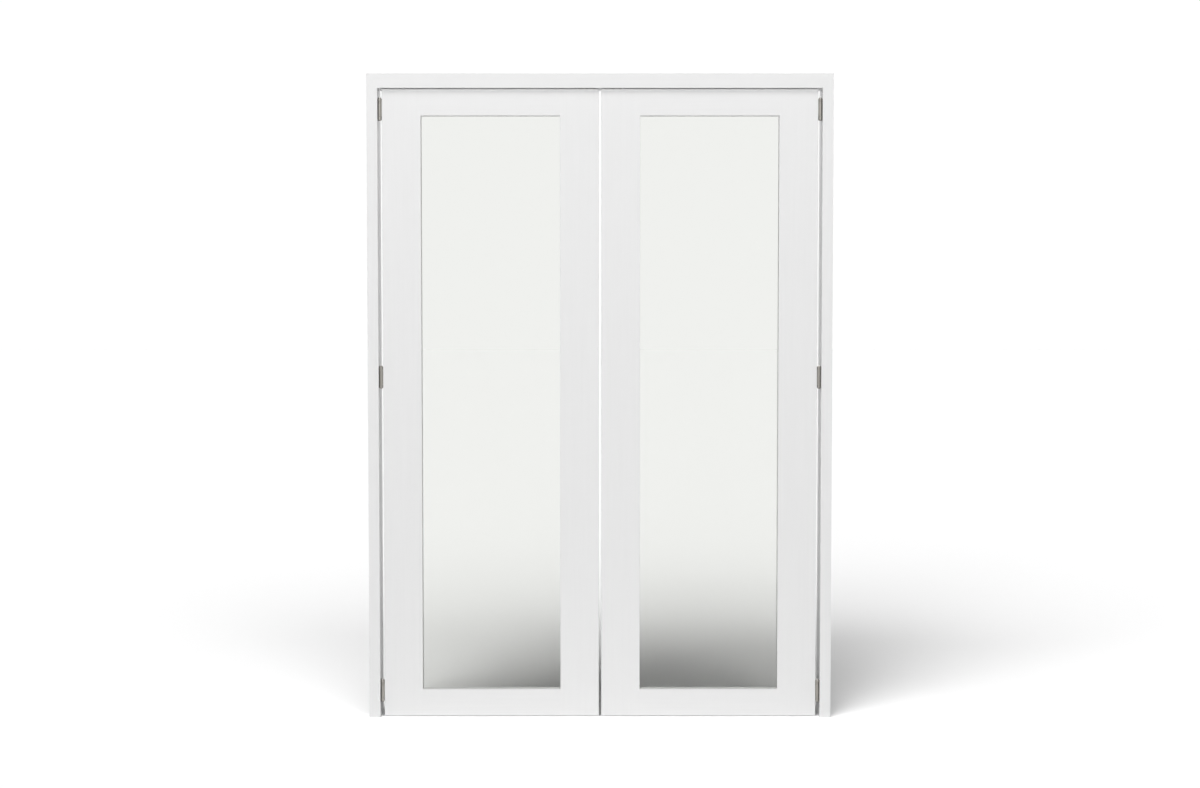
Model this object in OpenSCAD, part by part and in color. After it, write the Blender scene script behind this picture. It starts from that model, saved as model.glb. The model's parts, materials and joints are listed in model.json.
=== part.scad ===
// Pair of single-lite french doors hung in a plain square frame.
// Units are millimetres. The origin is on the floor, at the middle of the frame's width and depth.
// X runs along the width, -Y is the front (the side the leaves open to), Z is up.

/* [Frame] */
// Overall width of the frame
frame_w = 1500; // [1200:5:2000]
// Overall height of the frame, from the floor to the top of the head
frame_h = 2083; // [1800:1:2500]
// Depth of the jambs and the head, front to back
frame_d = 90; // [75:1:140]
// Thickness of each jamb
jamb_t = 35; // [30:1:50]
// Thickness of the head
head_t = 46; // [30:1:60]
// Depth of the rebate at the top of a jamb that the head sits in
head_rebate = 12; // [6:1:16]
// Radius of the eased edges of the timber
arris_r = 1.5; // [0.5:0.5:3]

/* [Leaves] */
// Thickness of each leaf
leaf_t = 35; // [32:1:44]
// Setback of the leaves behind the front of the frame
setback = 12; // [8:1:15]
// Gap between the two leaves
meeting_gap = 8; // [3:0.5:12]
// Gap between the leaves and the head
top_gap = 3; // [2:0.1:3.5]
// Gap between the leaves and the floor
floor_gap = 3; // [2:0.5:12]
// Face width of each stile
stile_w = 125; // [100:1:160]
// Face height of the top rail
top_rail_h = 84; // [65:1:140]
// Face height of the bottom rail
bottom_rail_h = 87; // [65:1:260]

/* [Dowels] */
// Diameter of the dowels between rails and stiles
dowel_d = 12; // [8:1:14]
// Length of each dowel
dowel_l = 100; // [60:2:120]
// Distance between the two dowels of a joint
dowel_pitch = 32; // [24:1:38]

/* [Glazing] */
// Thickness of the glass
glass_t = 5; // [4:0.5:6]
// Depth of the rebate that takes the glass and the beads
rebate_h = 10; // [8:0.5:14]
// Thickness of the fixed lip in front of the glass
lip_t = 14; // [10:0.5:16]
// Thickness of the glazing tape on each side of the glass
tape_t = 1; // [0.5:0.1:2]
// Gap between the edge of the glass and the rebate, filled by the setting blocks below
glass_edge_gap = 2; // [1:0.5:4]
// Length of each setting block
block_l = 60; // [30:5:100]
// Number of pins in each long bead
long_bead_pins = 6; // [3:1:10]
// Number of pins in each short bead
short_bead_pins = 2; // [2:1:4]

/* [Hinges] */
// Outside diameter of the knuckles
knuckle_d = 10.6; // [9:0.1:14]
// Distance between a knuckle and the timber beside it
knuckle_clear = 1.2; // [0.6:0.1:1.6]
// Height of the plates and of the knuckles together
hinge_h = 68; // [60:1:100]
// Height of each end knuckle
end_knuckle_h = 10.8; // [8:0.2:16]
// Gap between neighbouring knuckles
knuckle_gap = 0.6; // [0.3:0.1:1]
// Width of each plate, from the pin's axis
plate_w = 28; // [24:1:31]
// Thickness of each plate
plate_t = 2.2; // [2:0.1:3]
// Diameter of the hinge pin
pin_d = 5; // [4:0.5:6]
// Height of each domed end of the pin
pin_dome_h = 3.2; // [2:0.2:5]
// Height of the centre of the bottom hinge above the floor
bottom_hinge_z = 86; // [60:1:200]
// Height of the centre of the middle hinge above the floor
middle_hinge_z = 1108; // [800:1:1300]
// Distance from the top of the frame down to the centre of the top hinge
top_hinge_drop = 113; // [100:1:250]

/* [Ball catches] */
// Diameter of the catch ball
ball_d = 14; // [13.6:0.2:16]
// Depth that the ball reaches into the strike plate
ball_bite = 1.5; // [1:0.1:1.6]
// Thickness of the strike plate and of the catch's flange
catch_plate_t = 2; // [1.8:0.1:2.4]
// Width of the strike plate and of the flange, front to back
catch_plate_w = 25; // [22:1:30]
// Length of the strike plate and of the flange
catch_plate_l = 56; // [50:1:70]
// Length of the catch's barrel below its flange
catch_barrel_l = 34; // [30:1:50]
// Wall of the catch's barrel
catch_wall = 1.4; // [1:0.1:2]
// Distance from a leaf's meeting edge to its catch
catch_inset = 38; // [30:1:45]
// Wire diameter of the catch spring
spring_wire_d = 1.2; // [0.8:0.1:1.6]
// Mean diameter of the catch spring
spring_d = 8.8; // [7:0.2:10]
// Turns of the catch spring
spring_turns = 6; // [4:1:8]

/* [Screws] */
// Diameter of the hinge screws
hinge_screw_d = 4; // [3.5:0.5:5]
// Length of the hinge screws
hinge_screw_l = 30; // [16:1:32]
// Diameter of the screws that hold the head between the jambs
frame_screw_d = 5; // [4:0.5:6]
// Length of the screws that hold the head between the jambs
frame_screw_l = 75; // [60:1:90]
// Diameter of the catch screws
catch_screw_d = 3; // [2.5:0.5:3.5]
// Length of the catch screws
catch_screw_l = 18; // [12:1:24]

/* [Hidden] */
$fn = 48;
// cut_over makes a cut run clear past a face
cut_over = 1;
// Radial clearances: screws, dowels, the hinge pin in fixed and in turning knuckles, the catch ball
screw_clear = 0.1;
dowel_clear = 0.1;
pin_fixed_clear = 0.03;
pin_running_clear = 0.08;
dowel_end_gap = 1;
ball_clear = 0.15;
// The cross recess of a screw, as shares of its head
recess_length_share = 0.56;
recess_width_share = 0.14;
recess_depth_share = 0.7;
// Gap that a loose piece keeps from its seat
seat_gap = 0.1;

// Head and jambs
opening_w = frame_w - 2 * jamb_t;
opening_h = frame_h - head_t;
frame_screw_inset = 20;
frame_screw_y = frame_d / 2 - frame_screw_inset;
frame_screw_head_d = 2 * frame_screw_d;
frame_screw_head_h = frame_screw_d / 2;

// Leaf: its outline, worked out from the opening and the gaps, for the left leaf
hinge_gap = knuckle_d + 2 * knuckle_clear;
leaf_x0 = -opening_w / 2 + hinge_gap;
leaf_x1 = -meeting_gap / 2;
leaf_z0 = floor_gap;
leaf_z1 = opening_h - top_gap;
leaf_y0 = -frame_d / 2 + setback;
leaf_y1 = leaf_y0 + leaf_t;
leaf_h = leaf_z1 - leaf_z0;
leaf_mid_y = (leaf_y0 + leaf_y1) / 2;

// Lite: the clear opening between the stiles and rails
lite_x0 = leaf_x0 + stile_w;
lite_x1 = leaf_x1 - stile_w;
lite_z0 = leaf_z0 + bottom_rail_h;
lite_z1 = leaf_z1 - top_rail_h;
lite_w = lite_x1 - lite_x0;
lite_h = lite_z1 - lite_z0;

// Glazing: from the front, lip, tape, glass, tape, bead
glass_y0 = leaf_y0 + lip_t + tape_t;
glass_y1 = glass_y0 + glass_t;
bead_y0 = glass_y1 + tape_t;
bead_t = leaf_y1 - bead_y0;
glass_overlap = rebate_h - glass_edge_gap;
bead_pin_d = 1.6;
bead_pin_l = 26;
bead_pin_head_d = 2.4;
bead_pin_head_h = 0.8;

// Hinges: the pin's axis lies in the plane of the leaf's front, midway across the gap
knuckle_r = knuckle_d / 2;
axis_x = -opening_w / 2 + hinge_gap / 2;
axis_y = leaf_y0;
centre_knuckle_h = hinge_h - 2 * (end_knuckle_h + knuckle_gap);
top_hinge_z = frame_h - top_hinge_drop;
knuckle_chamfer = 0.5;
plate_corner_r = 5;
plate_notch_clear = 0.8;
dome_inset = 0.3;
dome_neck_inset = 1.3;
dome_base_r = knuckle_r - dome_inset;
dome_neck_r = knuckle_r - dome_neck_inset;
dome_neck_h = 0.6;
hinge_screw_head_d = 8;
hinge_screw_head_h = 2;
hinge_screw_pitch = 23;
hinge_screw_stagger = 3.5;
hinge_screw_y = (knuckle_r + plate_w) / 2;

// Catch: flange and strike are let in flush, and the ball just reaches into the hole of the strike
ball_r = ball_d / 2;
catch_x = leaf_x1 - catch_inset;
ball_out = top_gap + ball_bite;
flange_z = leaf_z1 - catch_plate_t;
ball_z = leaf_z1 + ball_out - ball_r;
strike_z = opening_h;
strike_hole_clear = 0.4;
strike_hole_r = sqrt(pow(ball_r, 2) - pow(ball_r - ball_bite, 2)) + strike_hole_clear;
let_in_clear = 0.2;
catch_bore_r = ball_r + ball_clear;
catch_barrel_r = catch_bore_r + catch_wall;
catch_floor_z = flange_z - catch_barrel_l + catch_wall;
catch_corner_r = 3;
catch_screw_head_d = 6;
catch_screw_head_h = 1.6;
catch_screw_inset = 7;
catch_screw_x = catch_plate_l / 2 - catch_screw_inset;
spring_r = spring_d / 2;
spring_z0 = catch_floor_z + spring_wire_d / 2 + seat_gap;
spring_z1 = ball_z - sqrt(pow(ball_r + spring_wire_d / 2 + seat_gap, 2) - pow(spring_r, 2));

// Colours
paint = [0.93, 0.93, 0.925];
clear_glass = [0.8, 0.88, 0.86, 0.35];
steel = [0.55, 0.55, 0.54];
nickel = [0.72, 0.7, 0.66];
beech = [0.8, 0.66, 0.46];
tape_grey = [0.82, 0.82, 0.8];
block_black = [0.15, 0.15, 0.15];

// ---- Helpers ----

// A box between two corners
module box(low, high) {
    translate(low) cube(high - low);
}

// A copy on the right of what is drawn for the left
module on_the_right() {
    mirror([1, 0, 0]) children();
}

// What easing takes off a corner at the origin, whose timber lies towards x_way and y_way
module eased_off(x_way, y_way) {
    difference() {
        square(2 * arris_r, center = true);
        translate([x_way * arris_r, y_way * arris_r]) circle(r = arris_r);
    }
}

// A rectangle in plan with its two corners on the line x = eased_x eased; the timber lies towards x_way
module eased_plan(x0, x1, y0, y1, eased_x, x_way) {
    difference() {
        translate([x0, y0]) square([x1 - x0, y1 - y0]);
        translate([eased_x, y0]) eased_off(x_way, 1);
        translate([eased_x, y1]) eased_off(x_way, -1);
    }
}

// A countersunk screw along +Z whose cross-recessed head is flush with z = 0 and whose shank runs down
module countersunk_screw(d, l, head_d, head_h) {
    slot_l = recess_length_share * head_d;
    slot_w = recess_width_share * head_d;
    slot_h = recess_depth_share * head_h;
    difference() {
        union() {
            translate([0, 0, -head_h]) cylinder(d1 = d, d2 = head_d, h = head_h);
            translate([0, 0, -l]) cylinder(d = d, h = l - head_h);
        }
        for (turn = [0, 90]) rotate(turn)
            translate([-slot_l / 2, -slot_w / 2, -slot_h]) cube([slot_l, slot_w, slot_h + cut_over]);
    }
}

// The hole for that screw: a shank hole and a cone that lets the head in
module countersunk_hole(d, l, head_d, head_h) {
    hole_d = d + 2 * screw_clear;
    cone_d = head_d + 2 * screw_clear;
    translate([0, 0, -head_h]) cylinder(d1 = hole_d, d2 = cone_d, h = head_h);
    translate([0, 0, -l - screw_clear]) cylinder(d = hole_d, h = l);
    cylinder(d = cone_d, h = cut_over);
}

// The three kinds of screw and their holes
module frame_screw() {
    countersunk_screw(frame_screw_d, frame_screw_l, frame_screw_head_d, frame_screw_head_h);
}

module frame_screw_hole() {
    countersunk_hole(frame_screw_d, frame_screw_l, frame_screw_head_d, frame_screw_head_h);
}

module hinge_screw() {
    countersunk_screw(hinge_screw_d, hinge_screw_l, hinge_screw_head_d, hinge_screw_head_h);
}

module hinge_screw_hole() {
    countersunk_hole(hinge_screw_d, hinge_screw_l, hinge_screw_head_d, hinge_screw_head_h);
}

module catch_screw() {
    countersunk_screw(catch_screw_d, catch_screw_l, catch_screw_head_d, catch_screw_head_h);
}

module catch_screw_hole() {
    countersunk_hole(catch_screw_d, catch_screw_l, catch_screw_head_d, catch_screw_head_h);
}

// ---- Frame ----

// Places one frame screw or its hole at each fixing of the left corner, head outwards
module at_frame_screws() {
    for (y = [-frame_screw_y, frame_screw_y])
        translate([-frame_w / 2, y, frame_h - head_t / 2]) rotate([0, -90, 0]) children();
}

module frame_screw_holes() {
    at_frame_screws() frame_screw_hole();
}

// The left jamb: eased along the two edges that show beside the leaf
module jamb() {
    x1 = -opening_w / 2;
    color(paint) difference() {
        linear_extrude(frame_h) eased_plan(-frame_w / 2, x1, -frame_d / 2, frame_d / 2, x1, -1);
        box([x1 - head_rebate, -frame_d / 2 - cut_over, opening_h],
            [x1 + cut_over, frame_d / 2 + cut_over, frame_h + cut_over]);
        frame_screw_holes();
        at_hinges() at_jamb_plate_screws() hinge_screw_hole();
    }
}

// The head: its ends sit in the rebates of the jambs, and its two lower edges are eased between them
module head() {
    color(paint) difference() {
        box([-opening_w / 2 - head_rebate, -frame_d / 2, opening_h],
            [opening_w / 2 + head_rebate, frame_d / 2, frame_h]);
        for (side = [-1, 1])
            translate([-opening_w / 2, side * frame_d / 2, opening_h]) rotate([90, 0, 90])
                linear_extrude(opening_w) eased_off(-side, 1);
        frame_screw_holes();
        on_the_right() frame_screw_holes();
        strike_mortise();
        on_the_right() strike_mortise();
        strike_screw_holes();
        on_the_right() strike_screw_holes();
    }
}

module left_jamb() {
    jamb();
}

module right_jamb() {
    on_the_right() jamb();
}

module frame_screws() {
    color(steel) {
        at_frame_screws() frame_screw();
        on_the_right() at_frame_screws() frame_screw();
    }
}

// ---- Leaf timber, drawn for the left leaf ----

// Plan of a stile: full thickness up to the rebate, and the lip in front of it.
// out_x is its outer edge, in_x the edge of the lite
module stile_plan(out_x, in_x) {
    way = sign(in_x - out_x);
    rebate_x = in_x - way * rebate_h;
    eased_plan(min(out_x, rebate_x), max(out_x, rebate_x), leaf_y0, leaf_y1, out_x, way);
    translate([min(rebate_x, in_x), leaf_y0]) square([rebate_h, lip_t]);
}

module hinge_stile() {
    color(paint) difference() {
        translate([0, 0, leaf_z0]) linear_extrude(leaf_h) stile_plan(leaf_x0, lite_x0);
        translate([lite_x0, leaf_y0, lite_z0]) linear_extrude(lite_h) eased_off(-1, 1);
        dowel_holes();
        bead_pin_holes();
        at_hinges() at_leaf_plate_screws() hinge_screw_hole();
    }
}

module meeting_stile() {
    color(paint) difference() {
        translate([0, 0, leaf_z0]) linear_extrude(leaf_h) stile_plan(leaf_x1, lite_x1);
        translate([lite_x1, leaf_y0, lite_z0]) linear_extrude(lite_h) eased_off(1, 1);
        dowel_holes();
        bead_pin_holes();
        translate([catch_x, leaf_mid_y, flange_z - catch_barrel_l - seat_gap])
            cylinder(r = catch_barrel_r + seat_gap, h = catch_barrel_l + seat_gap + cut_over);
        translate([catch_x, leaf_mid_y, flange_z]) catch_plate(let_in_clear, cut_over);
        at_catch_screws() catch_screw_hole();
    }
}

// A rail between z0 and z1, with its lip and its eased edge towards the lite on the side given by lite_way
module rail(z0, z1, lite_way) {
    back_z0 = lite_way < 0 ? z0 + rebate_h : z0;
    back_z1 = lite_way > 0 ? z1 - rebate_h : z1;
    color(paint) difference() {
        union() {
            box([lite_x0, leaf_y0, z0], [lite_x1, leaf_y0 + lip_t, z1]);
            box([lite_x0 - rebate_h, leaf_y0 + lip_t, back_z0], [lite_x1 + rebate_h, leaf_y1, back_z1]);
        }
        translate([lite_x0, leaf_y0, lite_way < 0 ? z0 : z1]) rotate([90, 0, 90])
            linear_extrude(lite_w) eased_off(1, -lite_way);
        dowel_holes();
        bead_pin_holes();
    }
}

module top_rail() {
    rail(lite_z1, leaf_z1, -1);
}

module bottom_rail() {
    rail(leaf_z0, lite_z0, 1);
}

// Heights of the dowels: a pair in the full-thickness part of each rail
top_dowels_z = (lite_z1 + rebate_h + leaf_z1) / 2;
bottom_dowels_z = (leaf_z0 + lite_z0 - rebate_h) / 2;
module at_dowels() {
    for (x = [lite_x0, lite_x1])
        for (z = [top_dowels_z, bottom_dowels_z])
            for (side = [-1, 1])
                translate([x, leaf_mid_y, z + side * dowel_pitch / 2]) rotate([0, 90, 0]) children();
}

module dowel_holes() {
    at_dowels() cylinder(d = dowel_d + 2 * dowel_clear, h = dowel_l + 2 * dowel_end_gap, center = true);
}

module dowels() {
    color(beech) at_dowels() cylinder(d = dowel_d, h = dowel_l, center = true);
}

// ---- Glazing, drawn for the left leaf ----

module glass() {
    color(clear_glass)
        box([lite_x0 - glass_overlap, glass_y0, lite_z0 - glass_overlap],
            [lite_x1 + glass_overlap, glass_y1, lite_z1 + glass_overlap]);
}

// Four strips on each side of the glass, as wide as the glass is covered
module glazing_tapes() {
    color(tape_grey) for (y = [glass_y0 - tape_t, glass_y1]) {
        for (x = [lite_x0 - glass_overlap, lite_x1])
            box([x, y, lite_z0 - glass_overlap],
                [x + glass_overlap, y + tape_t, lite_z1 + glass_overlap]);
        for (z = [lite_z0 - glass_overlap, lite_z1])
            box([lite_x0, y, z], [lite_x1, y + tape_t, z + glass_overlap]);
    }
}

// Two blocks at the quarter points carry the glass on the bottom of the rebate
module setting_blocks() {
    color(block_black) for (x = [lite_x0 + lite_w / 4, lite_x1 - lite_w / 4])
        box([x - block_l / 2, glass_y0, lite_z0 - rebate_h],
            [x + block_l / 2, glass_y1, lite_z0 - glass_overlap]);
}

// A bead along +X from 0 to its outer length, mitred at both ends; its inner edge at z = rebate_h is eased
module bead(outer_l) {
    difference() {
        rotate([90, 0, 0]) translate([0, 0, -bead_t])
            linear_extrude(bead_t)
                polygon([[0, 0], [outer_l, 0], [outer_l - rebate_h, rebate_h], [rebate_h, rebate_h]]);
        translate([0, bead_t, rebate_h]) rotate([90, 0, 90])
            linear_extrude(outer_l) eased_off(-1, -1);
    }
}

module bottom_bead() {
    color(paint) difference() {
        translate([lite_x0 - rebate_h, bead_y0, lite_z0 - rebate_h]) bead(lite_w + 2 * rebate_h);
        bead_pin_holes();
    }
}

module top_bead() {
    color(paint) difference() {
        translate([lite_x0 - rebate_h, bead_y0, lite_z1 + rebate_h]) mirror([0, 0, 1])
            bead(lite_w + 2 * rebate_h);
        bead_pin_holes();
    }
}

module hinge_side_bead() {
    color(paint) difference() {
        translate([lite_x0 - rebate_h, bead_y0, lite_z1 + rebate_h]) rotate([0, 90, 0])
            bead(lite_h + 2 * rebate_h);
        bead_pin_holes();
    }
}

module meeting_side_bead() {
    color(paint) difference() {
        translate([lite_x1 + rebate_h, bead_y0, lite_z0 - rebate_h]) rotate([0, -90, 0])
            bead(lite_h + 2 * rebate_h);
        bead_pin_holes();
    }
}

// Places each bead pin along +Z, with its head at z = 0 and its point outwards from the lite
module at_bead_pins() {
    y = bead_y0 + bead_t / 2;
    for (i = [0:long_bead_pins - 1]) {
        z = lite_z0 + lite_h * (i + 0.5) / long_bead_pins;
        translate([lite_x0, y, z]) rotate([0, 90, 0]) children();
        translate([lite_x1, y, z]) rotate([0, -90, 0]) children();
    }
    for (i = [0:short_bead_pins - 1]) {
        x = lite_x0 + lite_w * (i + 0.5) / short_bead_pins;
        translate([x, y, lite_z0]) children();
        translate([x, y, lite_z1]) rotate([180, 0, 0]) children();
    }
}

module bead_pin_holes() {
    at_bead_pins() {
        translate([0, 0, -bead_pin_l - screw_clear])
            cylinder(d = bead_pin_d + 2 * screw_clear, h = bead_pin_l + screw_clear + cut_over);
        translate([0, 0, -bead_pin_head_h - screw_clear])
            cylinder(d = bead_pin_head_d + 2 * screw_clear, h = bead_pin_head_h + screw_clear + cut_over);
    }
}

module bead_pins() {
    color(steel) at_bead_pins() {
        translate([0, 0, -bead_pin_l]) cylinder(d = bead_pin_d, h = bead_pin_l - bead_pin_head_h);
        translate([0, 0, -bead_pin_head_h]) cylinder(d = bead_pin_head_d, h = bead_pin_head_h);
    }
}

// ---- Hinges, drawn about the pin's axis with the jamb towards -X and the leaf towards +X ----

module at_hinge(z) {
    translate([axis_x, axis_y, z]) children();
}

module at_hinges() {
    for (z = [bottom_hinge_z, middle_hinge_z, top_hinge_z]) at_hinge(z) children();
}

// Three screws in a plate, the middle one nearer the pin; heads face the gap
module at_plate_screws(way) {
    for (i = [-1, 0, 1]) {
        y = hinge_screw_y + (i == 0 ? -1 : 1) * hinge_screw_stagger;
        translate([way * (hinge_gap / 2 - plate_t), y, i * hinge_screw_pitch])
            rotate([0, -way * 90, 0]) children();
    }
}

module at_jamb_plate_screws() {
    at_plate_screws(-1) children();
}

module at_leaf_plate_screws() {
    at_plate_screws(1) children();
}

// One knuckle between two heights, its ends chamfered and its bore right through
module knuckle(z0, z1, bore_r) {
    c = knuckle_chamfer;
    rotate_extrude() polygon([
        [bore_r, z0], [knuckle_r - c, z0], [knuckle_r, z0 + c],
        [knuckle_r, z1 - c], [knuckle_r - c, z1], [bore_r, z1]
    ]);
}

// A flat plate on the side given by way, its two far corners round, with a bore cleared for the pin
module hinge_plate(way) {
    seat_x = way * hinge_gap / 2;
    face_x = way * (hinge_gap / 2 - plate_t);
    translate([min(seat_x, face_x), 0, 0]) rotate([90, 0, 90]) linear_extrude(plate_t) difference() {
        translate([0, -hinge_h / 2]) square([plate_w, hinge_h]);
        for (side = [-1, 1])
            translate([plate_w - plate_corner_r, side * (hinge_h / 2 - plate_corner_r)]) difference() {
                translate([0, side > 0 ? 0 : -plate_corner_r - cut_over])
                    square([plate_corner_r + cut_over, plate_corner_r + cut_over]);
                circle(r = plate_corner_r);
            }
    }
}

notch_y = knuckle_r + plate_notch_clear;

// The jamb's plate: two end knuckles, and a notch round the centre one
module jamb_plate() {
    notch_z = centre_knuckle_h / 2 + knuckle_gap;
    color(steel) difference() {
        union() {
            difference() {
                hinge_plate(-1);
                box([-hinge_gap, -cut_over, -notch_z], [0, notch_y, notch_z]);
            }
            for (side = [0, 1]) mirror([0, 0, side])
                knuckle(notch_z, hinge_h / 2, pin_d / 2 + pin_fixed_clear);
        }
        cylinder(r = pin_d / 2 + pin_fixed_clear, h = 2 * hinge_h, center = true);
        at_jamb_plate_screws() hinge_screw_hole();
    }
}

// The leaf's plate: the centre knuckle, and a notch round each end one
module leaf_plate() {
    color(steel) difference() {
        union() {
            difference() {
                hinge_plate(1);
                for (side = [0, 1]) mirror([0, 0, side])
                    box([0, -cut_over, centre_knuckle_h / 2], [hinge_gap, notch_y, hinge_h]);
            }
            knuckle(-centre_knuckle_h / 2, centre_knuckle_h / 2, pin_d / 2 + pin_running_clear);
        }
        cylinder(r = pin_d / 2 + pin_running_clear, h = 2 * hinge_h, center = true);
        at_leaf_plate_screws() hinge_screw_hole();
    }
}

// The pin: a plain rod with a necked dome at each end
module hinge_pin() {
    dome_r = (pow(dome_base_r, 2) + pow(pin_dome_h, 2)) / (2 * pin_dome_h);
    neck_z = hinge_h / 2;
    dome_z = neck_z + dome_neck_h;
    cylinder(d = pin_d, h = hinge_h + dome_neck_h, center = true);
    for (side = [0, 1]) mirror([0, 0, side]) {
        translate([0, 0, neck_z]) cylinder(r = dome_neck_r, h = dome_neck_h);
        intersection() {
            translate([0, 0, dome_z + pin_dome_h - dome_r]) sphere(r = dome_r);
            translate([0, 0, dome_z]) cylinder(r = 2 * knuckle_r, h = 2 * pin_dome_h);
        }
    }
}

module hinge_pins() {
    color(steel) at_hinges() hinge_pin();
}

module leaf_plate_screws() {
    color(steel) at_hinges() at_leaf_plate_screws() hinge_screw();
}

module jamb_plate_screws() {
    color(steel) for (side = [0, 1]) mirror([side, 0, 0])
        at_hinges() at_jamb_plate_screws() hinge_screw();
}

// ---- Ball catches, drawn for the left leaf ----

// Places each of the two screws of the flange, head up
module at_catch_screws() {
    for (side = [-1, 1])
        translate([catch_x + side * catch_screw_x, leaf_mid_y, leaf_z1]) children();
}

// Places each of the two screws of the strike, head down
module at_strike_screws() {
    for (side = [-1, 1])
        translate([catch_x + side * catch_screw_x, leaf_mid_y, strike_z]) rotate([180, 0, 0]) children();
}

module strike_screw_holes() {
    at_strike_screws() catch_screw_hole();
}

// A plate with round corners, for the flange and the strike; for their mortises it is grown all round by
// clear and upwards by over
module catch_plate(clear = 0, over = 0) {
    x = catch_plate_l / 2 - catch_corner_r;
    y = catch_plate_w / 2 - catch_corner_r;
    r = catch_corner_r + clear;
    linear_extrude(catch_plate_t + over) {
        square([2 * (x + r), 2 * y], center = true);
        square([2 * x, 2 * (y + r)], center = true);
        for (sx = [-1, 1])
            for (sy = [-1, 1]) translate([sx * x, sy * y]) circle(r = r);
    }
}

module strike_mortise() {
    translate([catch_x, leaf_mid_y, strike_z - cut_over]) catch_plate(let_in_clear, cut_over);
}

// Flange and barrel in one turning; the mouth curves in over the ball and keeps it in
module catch_housing() {
    color(nickel) difference() {
        union() {
            translate([catch_x, leaf_mid_y, flange_z]) catch_plate();
            translate([catch_x, leaf_mid_y, flange_z - catch_barrel_l])
                cylinder(r = catch_barrel_r, h = catch_barrel_l + catch_plate_t);
        }
        translate([catch_x, leaf_mid_y, catch_floor_z])
            cylinder(r = catch_bore_r, h = ball_z - catch_floor_z);
        translate([catch_x, leaf_mid_y, ball_z]) sphere(r = catch_bore_r);
        at_catch_screws() catch_screw_hole();
    }
}

module catch_ball() {
    color(steel) translate([catch_x, leaf_mid_y, ball_z]) sphere(r = ball_r);
}

// A coil from the barrel's floor to the ball, swept as rings of points along its helix
module catch_spring() {
    steps_per_turn = 18;
    ring_sides = 8;
    steps = spring_turns * steps_per_turn;
    points = [
        for (i = [0:steps])
            for (j = [0:ring_sides - 1])
                let (
                    turn = 360 * i / steps_per_turn,
                    around = 360 * j / ring_sides,
                    r = spring_r + spring_wire_d / 2 * cos(around),
                    z = spring_z0 + (spring_z1 - spring_z0) * i / steps + spring_wire_d / 2 * sin(around)
                ) [r * cos(turn), r * sin(turn), z]
    ];
    walls = [
        for (i = [0:steps - 1])
            for (j = [0:ring_sides - 1])
                let (k = (j + 1) % ring_sides, a = i * ring_sides, b = a + ring_sides)
                    [a + j, b + j, b + k, a + k]
    ];
    first_end = [for (j = [0:ring_sides - 1]) j];
    last_end = [for (j = [ring_sides - 1:-1:0]) steps * ring_sides + j];
    color(steel) translate([catch_x, leaf_mid_y, 0])
        polyhedron(points, concat(walls, [first_end, last_end]), convexity = 10);
}

// The strike: a plate let into the head, with a hole for the ball
module catch_strike() {
    color(nickel) difference() {
        translate([catch_x, leaf_mid_y, strike_z]) catch_plate();
        translate([catch_x, leaf_mid_y, strike_z - cut_over])
            cylinder(r = strike_hole_r, h = catch_plate_t + 2 * cut_over);
        strike_screw_holes();
    }
}

module catch_screws() {
    color(steel) at_catch_screws() catch_screw();
}

module strike_screws() {
    color(steel) for (side = [0, 1]) mirror([side, 0, 0])
        at_strike_screws() catch_screw();
}

// ---- Named sub-parts ----

module left_hinge_stile() { hinge_stile(); }
module left_meeting_stile() { meeting_stile(); }
module left_top_rail() { top_rail(); }
module left_bottom_rail() { bottom_rail(); }
module left_dowels() { dowels(); }
module left_glass() { glass(); }
module left_glazing_tapes() { glazing_tapes(); }
module left_setting_blocks() { setting_blocks(); }
module left_top_bead() { top_bead(); }
module left_bottom_bead() { bottom_bead(); }
module left_hinge_side_bead() { hinge_side_bead(); }
module left_meeting_side_bead() { meeting_side_bead(); }
module left_bead_pins() { bead_pins(); }
module right_hinge_stile() { on_the_right() hinge_stile(); }
module right_meeting_stile() { on_the_right() meeting_stile(); }
module right_top_rail() { on_the_right() top_rail(); }
module right_bottom_rail() { on_the_right() bottom_rail(); }
module right_dowels() { on_the_right() dowels(); }
module right_glass() { on_the_right() glass(); }
module right_glazing_tapes() { on_the_right() glazing_tapes(); }
module right_setting_blocks() { on_the_right() setting_blocks(); }
module right_top_bead() { on_the_right() top_bead(); }
module right_bottom_bead() { on_the_right() bottom_bead(); }
module right_hinge_side_bead() { on_the_right() hinge_side_bead(); }
module right_meeting_side_bead() { on_the_right() meeting_side_bead(); }
module right_bead_pins() { on_the_right() bead_pins(); }
module left_top_jamb_plate() { at_hinge(top_hinge_z) jamb_plate(); }
module left_top_leaf_plate() { at_hinge(top_hinge_z) leaf_plate(); }
module left_middle_jamb_plate() { at_hinge(middle_hinge_z) jamb_plate(); }
module left_middle_leaf_plate() { at_hinge(middle_hinge_z) leaf_plate(); }
module left_bottom_jamb_plate() { at_hinge(bottom_hinge_z) jamb_plate(); }
module left_bottom_leaf_plate() { at_hinge(bottom_hinge_z) leaf_plate(); }
module left_hinge_pins() { hinge_pins(); }
module left_leaf_plate_screws() { leaf_plate_screws(); }
module right_top_jamb_plate() { on_the_right() left_top_jamb_plate(); }
module right_top_leaf_plate() { on_the_right() left_top_leaf_plate(); }
module right_middle_jamb_plate() { on_the_right() left_middle_jamb_plate(); }
module right_middle_leaf_plate() { on_the_right() left_middle_leaf_plate(); }
module right_bottom_jamb_plate() { on_the_right() left_bottom_jamb_plate(); }
module right_bottom_leaf_plate() { on_the_right() left_bottom_leaf_plate(); }
module right_hinge_pins() { on_the_right() hinge_pins(); }
module right_leaf_plate_screws() { on_the_right() leaf_plate_screws(); }
module left_catch_housing() { catch_housing(); }
module left_catch_ball() { catch_ball(); }
module left_catch_spring() { catch_spring(); }
module left_catch_strike() { catch_strike(); }
module left_catch_screws() { catch_screws(); }
module right_catch_housing() { on_the_right() catch_housing(); }
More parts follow.
